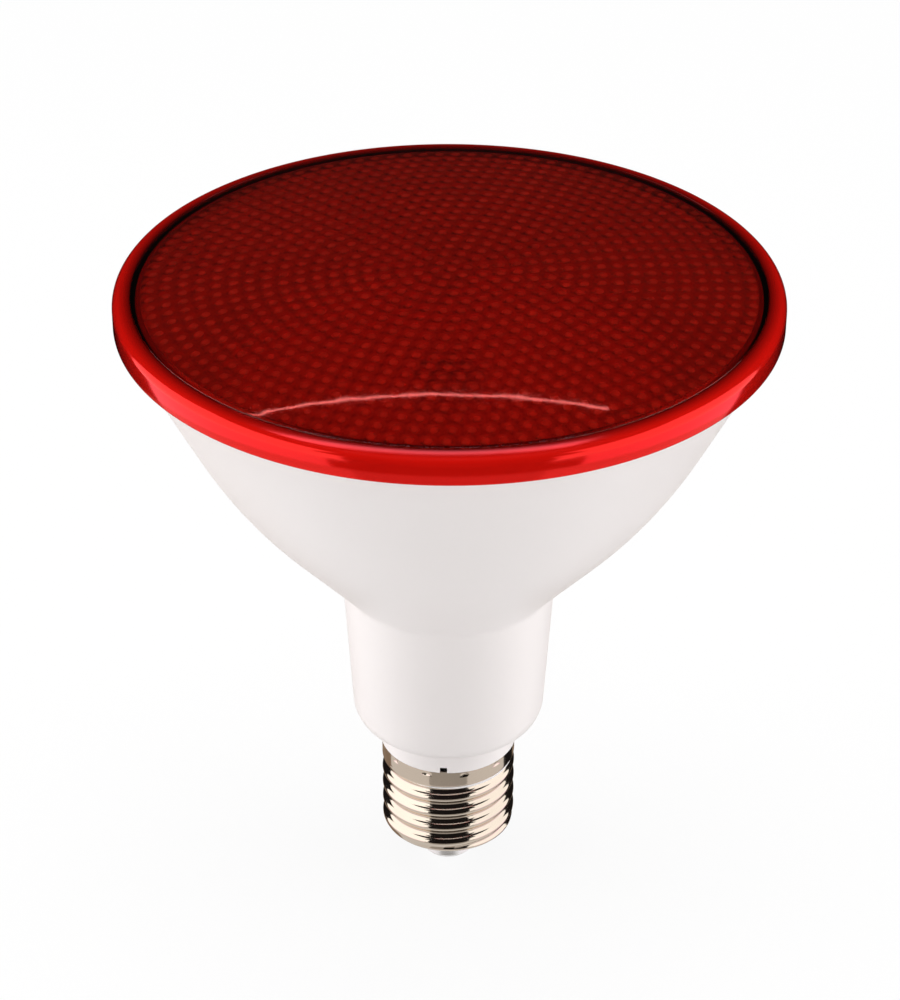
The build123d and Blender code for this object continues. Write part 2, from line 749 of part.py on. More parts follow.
# The dark insulator: a flange inside the shell, a neck in its mouth, a cone below it.
stem_radius = CAP_LEAD_RADIUS + LEAD_FIT + STEM_WALL

with BuildPart() as cap_insulator:
    with BuildSketch(Plane.XZ):
        with BuildLine():
            Polyline(
                (stem_radius + FIT, contact_top),
                (CONTACT_RADIUS, contact_top),
                (SHELL_MOUTH_RADIUS - FIT, shell_bottom),
                (SHELL_MOUTH_RADIUS - FIT, shell_bottom + SHELL_WALL),
                (shell_bore - SHELL_BEVEL - FIT, shell_bottom + SHELL_WALL),
                (
                    shell_bore - SHELL_BEVEL - FIT,
                    shell_bottom + SHELL_WALL + INSULATOR_FLANGE,
                ),
                (stem_radius + FIT, shell_bottom + SHELL_WALL + INSULATOR_FLANGE),
                close=True,
            )
        make_face()
    revolve(axis=Axis.Z)
cap_insulator.part.label = "cap_insulator"
export_step(cap_insulator.part, "parts/cap_insulator.step")

# The centre contact: a domed cup with a hollow stem that takes the live lead.
contact_ball = (CONTACT_RADIUS**2 + CONTACT_DOME**2) / (2 * CONTACT_DOME)

with BuildPart() as centre_contact:
    with BuildSketch(Plane.XY.offset(CONTACT_DOME)):
        Circle(CONTACT_RADIUS)
    extrude(amount=CONTACT_EDGE)
    with BuildSketch(Plane.XZ) as bowl:
        with Locations((0, contact_ball)):
            Circle(contact_ball)
        Rectangle(CONTACT_RADIUS, CONTACT_DOME, align=(Align.MIN, Align.MIN), mode=Mode.INTERSECT)
    revolve(axis=Axis.Z)
    with BuildSketch(Plane.XZ):
        with Locations((0, contact_ball)):
            Circle(contact_ball - CONTACT_WALL)
        Rectangle(
            CONTACT_RADIUS - CONTACT_WALL,
            contact_top,
            align=(Align.MIN, Align.MIN),
            mode=Mode.INTERSECT,
        )
    revolve(axis=Axis.Z, mode=Mode.SUBTRACT)
    with BuildSketch(Plane.XY.offset(CONTACT_WALL)):
        Circle(stem_radius)
    extrude(amount=contact_top + CONTACT_STEM - CONTACT_WALL)
    with BuildSketch(Plane.XY.offset(STEM_FLOOR)):
        Circle(stem_radius - STEM_WALL)
    extrude(amount=contact_top + CONTACT_STEM, mode=Mode.SUBTRACT)
centre_contact.part.label = "centre_contact"
export_step(centre_contact.part, "parts/centre_contact.step")
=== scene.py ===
import json
import math

import bpy
import numpy as np
from mathutils import Matrix, Vector


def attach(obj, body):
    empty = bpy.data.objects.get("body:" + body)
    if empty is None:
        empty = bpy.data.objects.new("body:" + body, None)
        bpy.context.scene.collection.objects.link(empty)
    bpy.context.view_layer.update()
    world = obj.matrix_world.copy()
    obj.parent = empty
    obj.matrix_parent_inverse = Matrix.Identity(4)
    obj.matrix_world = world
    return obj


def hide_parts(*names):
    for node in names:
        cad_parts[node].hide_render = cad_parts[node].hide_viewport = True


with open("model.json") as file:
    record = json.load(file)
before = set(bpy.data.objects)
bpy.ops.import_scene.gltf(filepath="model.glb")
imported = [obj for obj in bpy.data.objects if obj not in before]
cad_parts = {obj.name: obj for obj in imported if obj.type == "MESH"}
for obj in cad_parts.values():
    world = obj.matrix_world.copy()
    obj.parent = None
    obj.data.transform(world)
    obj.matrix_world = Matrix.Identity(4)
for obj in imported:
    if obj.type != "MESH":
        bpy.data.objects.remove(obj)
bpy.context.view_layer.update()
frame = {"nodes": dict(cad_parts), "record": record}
scene = bpy.context.scene

# Sizes in millimetres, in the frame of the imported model
MM = 0.001
LENS_TOP = 133.2
DOME_RADIUS = 57.4
DOME_EDGE = 129.35
EDGE_ROUND = 0.12
LENS_WALL = 1.6
RIM_TOP = 128.9
RIM_STEP = 0.14
RIM_SLOPE = 13.0
RIM_CROWN = 5.0
RIM_ROUND = 1.4
SKIRT_RADIUS = 60.7
SKIRT_INNER = 59.2
SKIRT_BOTTOM = 124.1
SKIRT_LIP = 0.2
SNAP_LOW = 124.5
SNAP_HIGH = 125.5
SNAP_PROUD = 0.45
SEAL_CEILING = 127.1
LAND_INNER = 55.5
LENS_SEGMENTS = 360
LENS_SHARP_ANGLE = 32

# The dome's rings are evenly spaced, and the last ones lie ever closer to its rounded edge
DOME_FIRST_RING = 3.0
DOME_EVEN_RINGS = 23
DOME_LAST_RINGS = (0.6, 0.3, 0.12, 0.04)
DOME_EDGE_ANGLE = 75

# The lens's materials, after the dome's own, in the order that its mesh carries them
RIM_SURFACE = 1
UNDERSIDE = 2

# The stipple on the lens's underside, ring by ring, with six more bumps on each ring
STIPPLE_PITCH = 3.01
STIPPLE_RINGS = 18
STIPPLE_TURN = math.radians(12.56)
BUMPS_A_RING = 6
BUMP_RADIUS = 1.36
BUMP_DEPTH = 0.17
BUMP_STEPS = 6

# The rolled screw shell
SHELL_BOTTOM = 8.9
SHELL_TOP = 29.4
SHELL_WALL = 0.35
SHELL_MOUTH = 8.92
SHELL_CORNER = 2.1
CREST = 13.05
THREAD_DEPTH = 1.0
THREAD_PITCH = 3.63
THREAD_START = 25.37
THREAD_FADE_TOP = 26.4
THREAD_FADE_FOOT = 9.2
THREAD_FADE_IN = 1.2
THREAD_FADE_OUT = 2.6
SHELL_SEGMENTS = 160
SHELL_STEP = 0.06
SHELL_SHOULDER = 1.0
SHELL_SHARP_ANGLE = 40
CRIMPS = 11
CRIMP_TURN = math.radians(-109)
CRIMP_HEIGHT = 28.5
CRIMP_RADIUS = 0.52
CRIMP_DEPTH = 0.2


def mesh_object(name, verts, faces, sharp):
    """A smooth-shaded object from points in millimetres, sharp at edges over the given angle."""
    mesh = bpy.data.meshes.new(name)
    mesh.from_pydata([tuple(c * MM for c in v) for v in verts], [], faces)
    mesh.validate()
    mesh.update()
    mesh.shade_smooth()
    mesh.set_sharp_from_angle(angle=math.radians(sharp))
    ob = bpy.data.objects.new(name, mesh)
    scene.collection.objects.link(ob)
    return ob


def arc(cx, cz, radius, start, end, steps):
    """Points of an arc in the (r, z) plane, angles in degrees."""
    angles = [math.radians(start + (end - start) * i / steps) for i in range(steps + 1)]
    return [(cx + radius * math.cos(a), cz + radius * math.sin(a)) for a in angles]


def ring_points(verts, r, z, count):
    """Adds a ring of points and returns their numbers."""
    start = len(verts)
    for k in range(count):
        a = 2 * math.pi * k / count
        verts.append((r * math.cos(a), r * math.sin(a), z))
    return list(range(start, start + count))


def join_rings(faces, low, high):
    """Quads between two rings with the same count."""
    count = len(low)
    for k in range(count):
        q = (k + 1) % count
        faces.append((low[k], low[q], high[q], high[k]))


def join_uneven(faces, low, high):
    """Triangles between two rings that differ in count."""
    n, m = len(low), len(high)
    i = j = 0
    while i < n or j < m:
        a, b = low[i % n], high[j % m]
        if j * n <= i * m and j < m:
            faces.append((a, high[(j + 1) % m], b))
            j += 1
        else:
            faces.append((a, low[(i + 1) % n], b))
            i += 1


# The lens: a shallow dome with a stippled underside, and the rim and skirt round it
ball = (DOME_RADIUS**2 + (LENS_TOP - DOME_EDGE) ** 2) / (2 * (LENS_TOP - DOME_EDGE))
ball_centre = LENS_TOP - ball


def outer_z(r):
    return ball_centre + math.sqrt(ball**2 - r**2)


def inner_z(r):
    return ball_centre + math.sqrt((ball - LENS_WALL) ** 2 - r**2)


def bump_height(r, a):
    """How far the stipple stands down from the smooth underside at a polar place."""
    ring = round(r / STIPPLE_PITCH)
    if ring > STIPPLE_RINGS:
        return 0.0
    step = 2 * math.pi / max(1, BUMPS_A_RING * ring)
    b = STIPPLE_TURN + round((a - STIPPLE_TURN) / step) * step
    cx = ring * STIPPLE_PITCH * math.cos(b)
    cy = ring * STIPPLE_PITCH * math.sin(b)
    share = math.hypot(r * math.cos(a) - cx, r * math.sin(a) - cy) / BUMP_RADIUS
    return BUMP_DEPTH * max(0.0, 1 - share**2)


def dome_outline():
    """The dome's upper face and its rounded edge, as (r, z) places from the axis outwards."""
    edge = DOME_RADIUS - EDGE_ROUND
    even_rings = np.linspace(DOME_FIRST_RING, edge - DOME_LAST_RINGS[0], DOME_EVEN_RINGS)
    reach = [*even_rings, *(edge - gap for gap in DOME_LAST_RINGS[1:])]
    rounded = arc(edge, DOME_EDGE - EDGE_ROUND, EDGE_ROUND, DOME_EDGE_ANGLE, 0, 3)
    return [(r, outer_z(r)) for r in reach] + rounded


def rim_outline():
    """The crowned flat, the shoulder, the skirt with its lip and snap bead, and the land."""
    corner = arc(SKIRT_RADIUS - RIM_ROUND, RIM_TOP - RIM_ROUND, RIM_ROUND, 90 - RIM_SLOPE, 0, 10)
    flat_end, flat_height = corner[0]
    crown_radius = (flat_end - DOME_RADIUS - EDGE_ROUND) / math.radians(RIM_CROWN)
    crown_x = flat_end - crown_radius * math.sin(math.radians(RIM_SLOPE))
    crown_z = flat_height - crown_radius * math.cos(math.radians(RIM_SLOPE))
    crown = arc(crown_x, crown_z, crown_radius, 90 - RIM_SLOPE + RIM_CROWN, 90 - RIM_SLOPE, 8)
    lip_height = SKIRT_BOTTOM + SKIRT_LIP
    return [
        (DOME_RADIUS, DOME_EDGE - EDGE_ROUND - RIM_STEP),
        *crown[:-1],
        *corner,
        (SKIRT_RADIUS, (RIM_TOP + SKIRT_BOTTOM) / 2),
        *arc(SKIRT_RADIUS - SKIRT_LIP, lip_height, SKIRT_LIP, 0, -90, 3),
        *arc(SKIRT_INNER + SKIRT_LIP, lip_height, SKIRT_LIP, -90, -180, 3),
        (SKIRT_INNER, SNAP_LOW),
        (SKIRT_INNER - SNAP_PROUD, (SNAP_LOW + SNAP_HIGH) / 2),
        (SKIRT_INNER, SNAP_HIGH),
        (SKIRT_INNER, SEAL_CEILING),
        (LAND_INNER, SEAL_CEILING),
        (LAND_INNER, inner_z(LAND_INNER)),
    ]


def make_lens():
    verts, faces = [], []

    def go_round(outline, last):
        """Joins the last ring to a new one at each place of the outline."""
        for r, z in outline:
            ring = ring_points(verts, r, z, LENS_SEGMENTS)
            join_rings(faces, ring, last)
            last = ring
        return last

    dome = dome_outline()
    top = len(verts)
    verts.append((0, 0, LENS_TOP))
    first = ring_points(verts, *dome[0], LENS_SEGMENTS)
    for k in range(LENS_SEGMENTS):
        faces.append((top, first[k], first[(k + 1) % LENS_SEGMENTS]))
    dome_end = go_round(dome[1:], first)
    rim_start = len(faces)
    land_end = go_round(rim_outline(), dome_end)
    # The last ring of faces, inside the land, belongs to the underside
    rim_end = len(faces) - LENS_SEGMENTS

    # The underside's mesh follows the rings of stipple
    fine = STIPPLE_PITCH / BUMP_STEPS
    rings = []
    for k in range(1, int(LAND_INNER / fine) + 1):
        r = k * fine
        band = max(1, min(STIPPLE_RINGS, round(r / STIPPLE_PITCH)))
        count = BUMPS_A_RING * BUMP_STEPS * band
        start = len(verts)
        for q in range(count):
            a = STIPPLE_TURN + 2 * math.pi * q / count
            verts.append((r * math.cos(a), r * math.sin(a), inner_z(r) - bump_height(r, a)))
        rings.append(list(range(start, start + count)))
    middle = len(verts)
    verts.append((0, 0, inner_z(0) - BUMP_DEPTH))
    smallest = rings[0]
    for k in range(len(smallest)):
        faces.append((middle, smallest[(k + 1) % len(smallest)], smallest[k]))
    for low, high in zip(rings, rings[1:]):
        if len(low) == len(high):
            join_rings(faces, low, high)
        else:
            join_uneven(faces, low, high)

    # The land's rings start at angle zero and the stipple's at its own turn
    shift = round(STIPPLE_TURN / (2 * math.pi) * LENS_SEGMENTS)
    join_uneven(faces, rings[-1], land_end[shift:] + land_end[:shift])

    ob = mesh_object("lens_moulding", verts, faces, LENS_SHARP_ANGLE)
    for face in ob.data.polygons:
        if rim_start <= face.index < rim_end:
            face.material_index = RIM_SURFACE
        elif face.index >= rim_end:
            face.material_index = UNDERSIDE
    return ob


# The screw shell: a rolled right-hand thread of round crests and roots
flank = 2 * math.atan(THREAD_DEPTH / (THREAD_PITCH / 2))
thread_round = THREAD_PITCH / 4 / math.sin(flank)


def ease(x):
    x = min(1.0, max(0.0, x))
    return x * x * (3 - 2 * x)


def thread_depth(z, a):
    """How far the thread's round profile lies below the crests at a height and an angle."""
    turn = (THREAD_START - z) / THREAD_PITCH + a / (2 * math.pi)
    from_root = abs(turn - round(turn)) * THREAD_PITCH
    if from_root <= THREAD_PITCH / 4:
        depth = THREAD_DEPTH - thread_round + math.sqrt(thread_round**2 - from_root**2)
    else:
        from_crest = THREAD_PITCH / 2 - from_root
        depth = thread_round - math.sqrt(thread_round**2 - from_crest**2)
    fade_in = ease((THREAD_FADE_TOP - z) / THREAD_FADE_IN)
    fade_out = ease((z - THREAD_FADE_FOOT) / THREAD_FADE_OUT)
    return depth * (fade_in * fade_out)


def crimp_depth(z, a):
    """The punched dimples in the plain band above the thread."""
    step = 2 * math.pi / CRIMPS
    near = CRIMP_TURN + round((a - CRIMP_TURN) / step) * step
    share = math.hypot((a - near) * CREST, z - CRIMP_HEIGHT) / CRIMP_RADIUS
    return CRIMP_DEPTH * max(0.0, 1 - share**2)


def make_shell():
    verts, faces, rows = [], [], []
    corner = arc(CREST - SHELL_CORNER, SHELL_BOTTOM + SHELL_CORNER, SHELL_CORNER, -90, 0, 8)
    heights = np.arange(SHELL_BOTTOM + SHELL_CORNER + SHELL_STEP, SHELL_TOP, SHELL_STEP)
    wall = [(CREST, z) for z in heights] + [(CREST, SHELL_TOP)]
    outside = [(SHELL_MOUTH, SHELL_BOTTOM)] + corner + wall
    angles = [2 * math.pi * k / SHELL_SEGMENTS for k in range(SHELL_SEGMENTS)]
    for r, z in outside:
        start = len(verts)
        for a in angles:
            limit = CREST - thread_depth(z, a) - crimp_depth(z, a)
            radius = r if z == SHELL_BOTTOM else min(r, limit)
            verts.append((radius * math.cos(a), radius * math.sin(a), z))
        rows.append(list(range(start, start + SHELL_SEGMENTS)))
    inner = CREST - THREAD_DEPTH - SHELL_WALL
    for r, z in ((CREST - SHELL_WALL, SHELL_TOP), (CREST - SHELL_WALL, THREAD_FADE_TOP),
                 (inner, THREAD_FADE_TOP - SHELL_SHOULDER), (inner, SHELL_BOTTOM + SHELL_CORNER),
                 (SHELL_MOUTH, SHELL_BOTTOM + SHELL_WALL)):
        rows.append(ring_points(verts, r, z, SHELL_SEGMENTS))
    for low, high in zip(rows, rows[1:] + rows[:1]):
        join_rings(faces, low, high)
    return mesh_object("screw_shell", verts, faces, SHELL_SHARP_ANGLE)


lens = make_lens()
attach(lens, "root")
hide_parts("lens_cover")

shell = make_shell()
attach(shell, "root")
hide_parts("cap_shell")


# Materials
def add_node(mat, kind, **settings):
    made = mat.node_tree.nodes.new(kind)
    for name, value in settings.items():
        setattr(made, name, value)
    return made


def link(mat, a, b):
    mat.node_tree.links.new(a, b)


def calculate(mat, operation, *values):
    """A Math node. A value is a number or another node's output."""
    made = add_node(mat, "ShaderNodeMath", operation=operation)
    for socket, value in zip(made.inputs, values):
        if isinstance(value, (int, float)):
            socket.default_value = value
        else:
            link(mat, value, socket)
    return made.outputs[0]


def new_material(name, color, rough, metal=0.0):
    mat = bpy.data.materials.new(name)
    mat.use_nodes = True
    shader = mat.node_tree.nodes["Principled BSDF"]
    shader.inputs["Base Color"].default_value = (*color, 1)
    shader.inputs["Roughness"].default_value = rough
    shader.inputs["Metallic"].default_value = metal
    return mat, shader


def noise(mat, scale, detail):
    coord = add_node(mat, "ShaderNodeTexCoord")
    made = add_node(mat, "ShaderNodeTexNoise")
    made.inputs["Scale"].default_value = scale
    made.inputs["Detail"].default_value = detail
    link(mat, coord.outputs["Object"], made.inputs["Vector"])
    return made.outputs["Fac"]


def relief(mat, shader, height, strength, distance):
    bump = add_node(mat, "ShaderNodeBump")
    bump.inputs["Strength"].default_value = strength
    bump.inputs["Distance"].default_value = distance
    link(mat, height, bump.inputs["Height"])
    link(mat, bump.outputs["Normal"], shader.inputs["Normal"])


def color_ramp(mat, value, stops, interpolation="LINEAR"):
    """Colours along a value, from at least two pairs of a place and a colour."""
    made = add_node(mat, "ShaderNodeValToRGB")
    made.color_ramp.interpolation = interpolation
    low, high = made.color_ramp.elements
    first, *between, last = stops
    for element, (place, color) in ((low, first), (high, last)):
        element.position = place
        element.color = (*color, 1)
    for place, color in between:
        made.color_ramp.elements.new(place).color = (*color, 1)
    link(mat, value, made.inputs["Fac"])
    return made.outputs["Color"]


def map_range(mat, value, low, high, **settings):
    """Takes the range from low to high to the one from 0 to 1."""
    made = add_node(mat, "ShaderNodeMapRange", **settings)
    made.inputs["From Min"].default_value = low
    made.inputs["From Max"].default_value = high
    link(mat, value, made.inputs["Value"])
    return made.outputs["Result"]


def blend_shaders(mat, share, usual, other):
    """Makes a blend of two shaders the material's surface."""
    blend = add_node(mat, "ShaderNodeMixShader")
    link(mat, share, blend.inputs["Fac"])
    link(mat, usual.outputs[0], blend.inputs[1])
    link(mat, other.outputs[0], blend.inputs[2])
    link(mat, blend.outputs[0], mat.node_tree.nodes["Material Output"].inputs["Surface"])


CLOUD_LOW = 0.3
CLOUD_HIGH = 0.7
CLOUD_DETAIL = 4
GLOSS_SPREAD = 0.2
RELIEF_DETAIL = 3
RELIEF_DEPTH = 0.0001


def finished(name, color, rough, metal=0.0, amount=0.06, scale=150, relief_strength=0.08,
             relief_scale=800):
    """A material with fine variation of colour and gloss, and a fine surface relief."""
    mat, shader = new_material(name, color, rough, metal)
    cloud = noise(mat, scale, CLOUD_DETAIL)
    darker = [c * (1 - amount) for c in color]
    lighter = [min(1.0, c * (1 + amount)) for c in color]
    varied = color_ramp(mat, cloud, ((CLOUD_LOW, darker), (CLOUD_HIGH, lighter)))
    link(mat, varied, shader.inputs["Base Color"])
    gloss = add_node(mat, "ShaderNodeMapRange")
    gloss.inputs["To Min"].default_value = rough * (1 - GLOSS_SPREAD)
    gloss.inputs["To Max"].default_value = rough * (1 + GLOSS_SPREAD)
    link(mat, cloud, gloss.inputs["Value"])
    link(mat, gloss.outputs["Result"], shader.inputs["Roughness"])
    relief(mat, shader, noise(mat, relief_scale, RELIEF_DETAIL), relief_strength, RELIEF_DEPTH)
    return mat, shader


# Clear red plastic, with the slight waviness that a moulding has over its stipple
PLASTIC_IOR = 1.5
DOME_RED = (0.6, 0.028, 0.012)
DOME_ROUGH = 0.03
WAVE_SCALE = 170
WAVE_DETAIL = 1.5
WAVE_DEPTH = 0.00001


def make_dome_material():
    mat, shader = new_material("lens_red", DOME_RED, DOME_ROUGH)
    shader.inputs["Transmission Weight"].default_value = 1.0
    shader.inputs["IOR"].default_value = PLASTIC_IOR
    relief(mat, shader, noise(mat, WAVE_SCALE, WAVE_DETAIL), 1.0, WAVE_DEPTH)
    return mat


# The rim and skirt send back red light from their inner faces and the housing behind.
# The shades are painted shade that multiplies that red, from the land out to a place near the
# skirt's outside: dark over the land, darkest where the flat meets the dome, then lighter
# outwards.
RIM_RED = (0.92, 0.008, 0.004)
RIM_ROUGH = 0.1
RIM_METAL = 0.35
RIM_CLEAR = 0.2
RIM_SPECULAR = 0.2
RIM_LIT_RADIUS = SKIRT_RADIUS - 1.0
# Painted shade on the rim's red: places out from the land and the share of red kept there
RIM_PAINTED_SHADES = ((0, 0.2), (0.435, 0.2), (0.46, 0.13), (1, 1))
SHINE_RED = (1, 0.05, 0.05, 1)
SHINE_ROUGH = 0.12
SHINE_POWER = 2.5
FACING_BLEND = 0.5


def from_axis(mat):
    """How far a place is from the lamp's axis, in metres."""
    coord = add_node(mat, "ShaderNodeTexCoord")
    level = add_node(mat, "ShaderNodeVectorMath", operation="MULTIPLY")
    level.inputs[1].default_value = (1, 1, 0)
    link(mat, coord.outputs["Object"], level.inputs[0])
    length = add_node(mat, "ShaderNodeVectorMath", operation="LENGTH")
    link(mat, level.outputs[0], length.inputs[0])
    return length.outputs["Value"]


def make_rim_material():
    mat, shader = finished("rim_red", RIM_RED, RIM_ROUGH, metal=RIM_METAL, amount=0.04, scale=60,
                           relief_strength=0.02, relief_scale=500)
    shader.inputs["Transmission Weight"].default_value = RIM_CLEAR
    shader.inputs["IOR"].default_value = PLASTIC_IOR
    shader.inputs["Specular IOR Level"].default_value = RIM_SPECULAR
    # Painted shade: the rim's red darkens towards the dome by distance from the axis
    outwards = map_range(mat, from_axis(mat), LAND_INNER * MM, RIM_LIT_RADIUS * MM)
    shade = color_ramp(mat, outwards, [(place, (share,) * 3) for place, share in RIM_PAINTED_SHADES])
    shaded = add_node(mat, "ShaderNodeMix", data_type="RGBA", blend_type="MULTIPLY")
    shaded.inputs["Factor"].default_value = 1.0
    link(mat, shader.inputs["Base Color"].links[0].from_socket, shaded.inputs["A"])
    link(mat, shade, shaded.inputs["B"])
    link(mat, shaded.outputs["Result"], shader.inputs["Base Color"])
    facing = add_node(mat, "ShaderNodeLayerWeight")
    facing.inputs["Blend"].default_value = FACING_BLEND
    shine = add_node(mat, "ShaderNodeBsdfGlossy")
    shine.inputs["Color"].default_value = SHINE_RED
    shine.inputs["Roughness"].default_value = SHINE_ROUGH
    share = calculate(mat, "POWER", facing.outputs["Facing"], SHINE_POWER)
    blend_shaders(mat, share, shader, shine)
    return mat


# The frosted stipple, with a painted highlight towards the middle of each bump and painted shade
# between the bumps. Places and sizes are in millimetres.
UNDER_RED = (0.34, 0.02, 0.012)
UNDER_ROUGH = 0.22
# Where the painted highlight lies against each bump's middle, and its width and depth
HIGHLIGHT_SHIFT = (0.4, -0.15)
HIGHLIGHT_SHAPE = (1.15, 1.35)
HIGHLIGHT_REACH = 2.2
# Painted highlight at a bump's middle, fading out to painted shade between the bumps
BUMP_HIGHLIGHT_AND_SHADE = (
    (0, (0.62, 0.04, 0.03)),
    (0.12, (0.6, 0.035, 0.025)),
    (0.36, (0.34, 0.014, 0.006)),
    (0.55, (0.3, 0.012, 0.005)),
    (0.75, (0.17, 0.007, 0.004)),
    (1, (0.14, 0.006, 0.004)),
)
# The painted highlight's pale pink, where it starts and is full, and how strong it is
GLINT_PINK = (0.9, 0.55, 0.55, 1)
GLINT_EDGE = 0.52
GLINT_MIDDLE = 0.16
GLINT_LEAST = 0.1
GLINT_SPREAD = 0.2
PATCH_SCALE = 90
PATCH_DETAIL = 2


def make_stipple_material():
    mat, shader = new_material("stipple_red", UNDER_RED, UNDER_ROUGH)
    shader.inputs["Transmission Weight"].default_value = 1.0
    shader.inputs["IOR"].default_value = PLASTIC_IOR

    def work_out(operation, *values):
        return calculate(mat, operation, *values)

    def squares(a, b):
        return work_out("ADD", work_out("MULTIPLY", a, a), work_out("MULTIPLY", b, b))

    # The nearest bump, by its ring and its angle
    coord = add_node(mat, "ShaderNodeTexCoord")
    split = add_node(mat, "ShaderNodeSeparateXYZ")
    link(mat, coord.outputs["Object"], split.inputs["Vector"])
    x = work_out("SUBTRACT", work_out("DIVIDE", split.outputs["X"], MM), HIGHLIGHT_SHIFT[0])
    y = work_out("SUBTRACT", work_out("DIVIDE", split.outputs["Y"], MM), HIGHLIGHT_SHIFT[1])
    ring = work_out("ROUND", work_out("DIVIDE", work_out("SQRT", squares(x, y)), STIPPLE_PITCH))
    bumps = work_out("MAXIMUM", work_out("MULTIPLY", ring, BUMPS_A_RING), 1)
    step = work_out("DIVIDE", 2 * math.pi, bumps)
    turned = work_out("SUBTRACT", work_out("ARCTAN2", y, x), STIPPLE_TURN)
    nearest = work_out("ROUND", work_out("DIVIDE", turned, step))
    angle = work_out("ADD", work_out("MULTIPLY", nearest, step), STIPPLE_TURN)

    # How far a place is from the middle of the painted highlight on that bump
    radius = work_out("MULTIPLY", ring, STIPPLE_PITCH)
    off_x = work_out("SUBTRACT", x, work_out("MULTIPLY", radius, work_out("COSINE", angle)))
    off_y = work_out("SUBTRACT", y, work_out("MULTIPLY", radius, work_out("SINE", angle)))
    wide = work_out("DIVIDE", off_x, HIGHLIGHT_SHAPE[0])
    deep = work_out("DIVIDE", off_y, HIGHLIGHT_SHAPE[1])
    away = work_out("DIVIDE", work_out("SQRT", squares(wide, deep)), HIGHLIGHT_REACH)
    # The painted highlight and shade become the base colour
    link(mat, color_ramp(mat, away, BUMP_HIGHLIGHT_AND_SHADE, "EASE"), shader.inputs["Base Color"])

    # A pale pink middle on each bump as a painted highlight, stronger in some patches than in
    # others
    glint_spot = map_range(mat, away, GLINT_EDGE, GLINT_MIDDLE, interpolation_type="SMOOTHSTEP")
    in_rings = work_out("LESS_THAN", ring, STIPPLE_RINGS + 0.5)
    patches = work_out("MULTIPLY", noise(mat, PATCH_SCALE, PATCH_DETAIL), GLINT_SPREAD)
    glint_strength = work_out("ADD", GLINT_LEAST, patches)
    # A diffuse pale pink that is painted highlight
    glint = add_node(mat, "ShaderNodeBsdfDiffuse")
    glint.inputs["Color"].default_value = GLINT_PINK
    share = work_out("MULTIPLY", work_out("MULTIPLY", glint_spot, in_rings), glint_strength)
    blend_shaders(mat, share, shader, glint)
    return mat


for mat in (make_dome_material(), make_rim_material(), make_stipple_material()):
    lens.data.materials.append(mat)

HOUSING_WHITE = (0.83, 0.785, 0.775)
HOUSING_SPECULAR = 0.2
housing_mat, housing_shader = finished("housing_white", HOUSING_WHITE, 0.38, amount=0.01, scale=25,
                                       relief_strength=0.03, relief_scale=900)
housing_shader.inputs["Specular IOR Level"].default_value = HOUSING_SPECULAR

NICKEL = (0.66, 0.565, 0.47)
nickel_mat = finished("shell_nickel", NICKEL, 0.1, metal=1.0, amount=0.05, scale=90,
                      relief_strength=0.05, relief_scale=700)[0]
shell.data.materials.append(nickel_mat)

# Colour, roughness and metal of the other slots
SLOT_LOOKS = {
    "seal_rubber": ((0.02, 0.02, 0.02), 0.7, 0),
    "pan_aluminium": ((0.78, 0.79, 0.8), 0.35, 1),
    "pad_grey": ((0.55, 0.57, 0.6), 0.8, 0),
    "board_white": ((0.85, 0.85, 0.83), 0.35, 0),
    "led_yellow": ((0.9, 0.72, 0.2), 0.4, 0),
    "connector_white": ((0.85, 0.85, 0.83), 0.4, 0),
    "screw_steel": ((0.6, 0.6, 0.62), 0.3, 1),
    "board_green": ((0.03, 0.14, 0.06), 0.35, 0),
    "ferrite_black": ((0.05, 0.05, 0.055), 0.6, 0),
    "tape_yellow": ((0.85, 0.6, 0.05), 0.35, 0),
    "can_dark": ((0.03, 0.035, 0.06), 0.3, 0),
    "film_orange": ((0.6, 0.15, 0.03), 0.35, 0),
    "chip_black": ((0.02, 0.02, 0.022), 0.5, 0),
    "varistor_blue": ((0.02, 0.08, 0.4), 0.35, 0),
    "fuse_tan": ((0.5, 0.35, 0.18), 0.45, 0),
    "lead_red": ((0.5, 0.01, 0.01), 0.4, 0),
    "lead_black": ((0.02, 0.02, 0.02), 0.4, 0),
    "insulator_black": ((0.015, 0.015, 0.017), 0.12, 0),
    "contact_nickel": ((0.96, 0.94, 0.93), 0.35, 1),
}
looks = {name: finished(name, *look)[0] for name, look in SLOT_LOOKS.items()}
looks["housing_white"] = housing_mat
slots = {row["node"]: row["material_slot"] for row in frame["record"]["subparts"]}
for name, ob in frame["nodes"].items():
    if slots[name] in looks:
        ob.data.materials.clear()
        ob.data.materials.append(looks[slots[name]])


# The studio
def studio_object(ob):
    """A stage piece that only reflections see."""
    ob.visible_camera = False
    ob.visible_diffuse = False
    ob.visible_shadow = False
    ob.visible_transmission = False


def glow(name, color, strength):
    mat = bpy.data.materials.new(name)
    mat.use_nodes = True
    mat.node_tree.nodes.clear()
    light = add_node(mat, "ShaderNodeEmission")
    light.inputs["Color"].default_value = (*color, 1)
    light.inputs["Strength"].default_value = strength
    surface = add_node(mat, "ShaderNodeOutputMaterial")
    link(mat, light.outputs[0], surface.inputs["Surface"])
    return mat


def card(name, start, end, low, high, radius, mat):
    """A curved card round the lamp, in degrees clockwise from the back and metres."""
    verts, faces = [], []
    for k in range(CARD_STEPS + 1):
        a = math.radians(start + (end - start) * k / CARD_STEPS)
        for z in (low, high):
            verts.append((radius * math.sin(a), radius * math.cos(a), z))
    for k in range(CARD_STEPS):
        faces.append((2 * k, 2 * k + 2, 2 * k + 3, 2 * k + 1))
    mesh = bpy.data.meshes.new(name)
    mesh.from_pydata(verts, [], faces)
    ob = bpy.data.objects.new(name, mesh)
    scene.collection.objects.link(ob)
    mesh.materials.append(mat)
    studio_object(ob)


